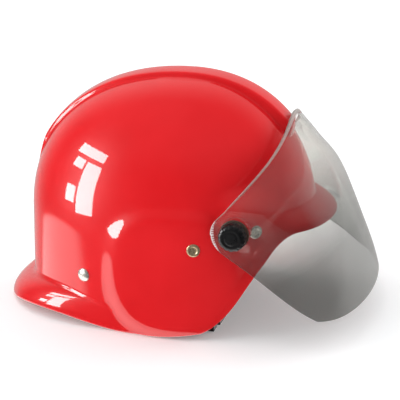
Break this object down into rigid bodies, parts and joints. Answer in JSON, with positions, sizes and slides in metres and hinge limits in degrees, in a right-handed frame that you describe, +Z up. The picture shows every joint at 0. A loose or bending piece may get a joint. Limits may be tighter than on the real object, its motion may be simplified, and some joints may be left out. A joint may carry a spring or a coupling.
{
  "type": "fire helmet",
  "caption": "Hard fire helmet with a raised crest, flared neck brim and a hinged clear visor on side knobs, with webbing suspension and chin strap inside.",
  "frame": {"origin": "middle of the bounding box on the table plane, under the shell", "axes": "+X forward through the visor, +Y to the left side of the wearer, +Z up"},
  "size_m": [0.3465, 0.2326, 0.226],
  "materials": {
    "shell_red": "gloss",
    "visor_clear": "clear",
    "knob_black": "satin",
    "steel": "satin",
    "brass": "polished",
    "rivet_nickel": "polished",
    "bush_nylon": "satin",
    "washer_fibre": "matt",
    "liner_foam": "matt",
    "band_plastic": "satin",
    "pad_foam": "matt",
    "tape_white": "matt",
    "strap_black": "matt",
    "buckle_black": "satin",
    "pad_leather": "matt"
  },
  "bodies": {
    "helmet": {"shell": "shell_red", "pivot_bolt_left": "steel", "pivot_bolt_right": "steel", "friction_washers": "washer_fibre", "rivets_front": "rivet_nickel", "rivets_middle": "brass", "rivets_rear": "rivet_nickel", "anchors_front": "steel", "anchors_middle": "steel", "anchors_rear": "steel", "impact_liner": "liner_foam", "headband": "band_plastic", "brow_pad": "pad_foam", "hangers_front": "band_plastic", "hangers_rear": "band_plastic", "band_studs": "steel", "crown_tapes_front": "tape_white", "crown_tapes_rear": "tape_white", "crown_pad": "pad_foam", "nape_housing": "band_plastic", "nape_cover": "band_plastic", "cover_screws": "steel", "chin_strap_left": "strap_black", "chin_strap_right": "strap_black", "strap_sliders": "buckle_black", "chin_pad": "pad_leather", "buckle_socket": "buckle_black", "buckle_plug": "buckle_black"},
    "visor": {"visor": "visor_clear", "pivot_bushes": "bush_nylon", "spring_washers": "steel"},
    "knob_left": {"visor_knob_left": "knob_black"},
    "knob_right": {"visor_knob_right": "knob_black"},
    "ratchet": {"nape_knob": "knob_black", "nape_pinion": "bush_nylon"},
    "tongue_left": {"band_tongue_left": "band_plastic"},
    "tongue_right": {"band_tongue_right": "band_plastic"}
  },
  "joints": [
    {"name": "visor_hinge", "type": "hinge", "parent": "helmet", "child": "visor", "pos_m": [0.0637, 0, 0.1064], "axis": [0, 1, 0], "range_deg": [-1, 36]},
    {"name": "knob_left_turn", "type": "hinge", "parent": "helmet", "child": "knob_left", "pos_m": [0.0637, 0.11, 0.1064], "axis": [0, 1, 0], "range_deg": [0, 180]},
    {"name": "knob_right_turn", "type": "hinge", "parent": "helmet", "child": "knob_right", "pos_m": [0.0637, -0.11, 0.1064], "axis": [0, -1, 0], "range_deg": [0, 180]},
    {"name": "ratchet_turn", "type": "hinge", "parent": "helmet", "child": "ratchet", "pos_m": [-0.09809, 0, 0.04473], "axis": [0.9432, 0, 0.3321], "range_deg": [-9.55, 76.39]},
    {"name": "tongue_left_slide", "type": "slide", "parent": "helmet", "child": "tongue_left", "axis": [0, -1, 0], "range_m": [-0.00105, 0.00805]},
    {"name": "tongue_right_slide", "type": "slide", "parent": "helmet", "child": "tongue_right", "axis": [0, 1, 0], "range_m": [-0.00105, 0.00805]}
  ],
  "couplings": [
    {"joint": "tongue_left_slide", "follows": "ratchet_turn", "m_per_rad": 0.006},
    {"joint": "tongue_right_slide", "follows": "ratchet_turn", "m_per_rad": 0.006}
  ]
}
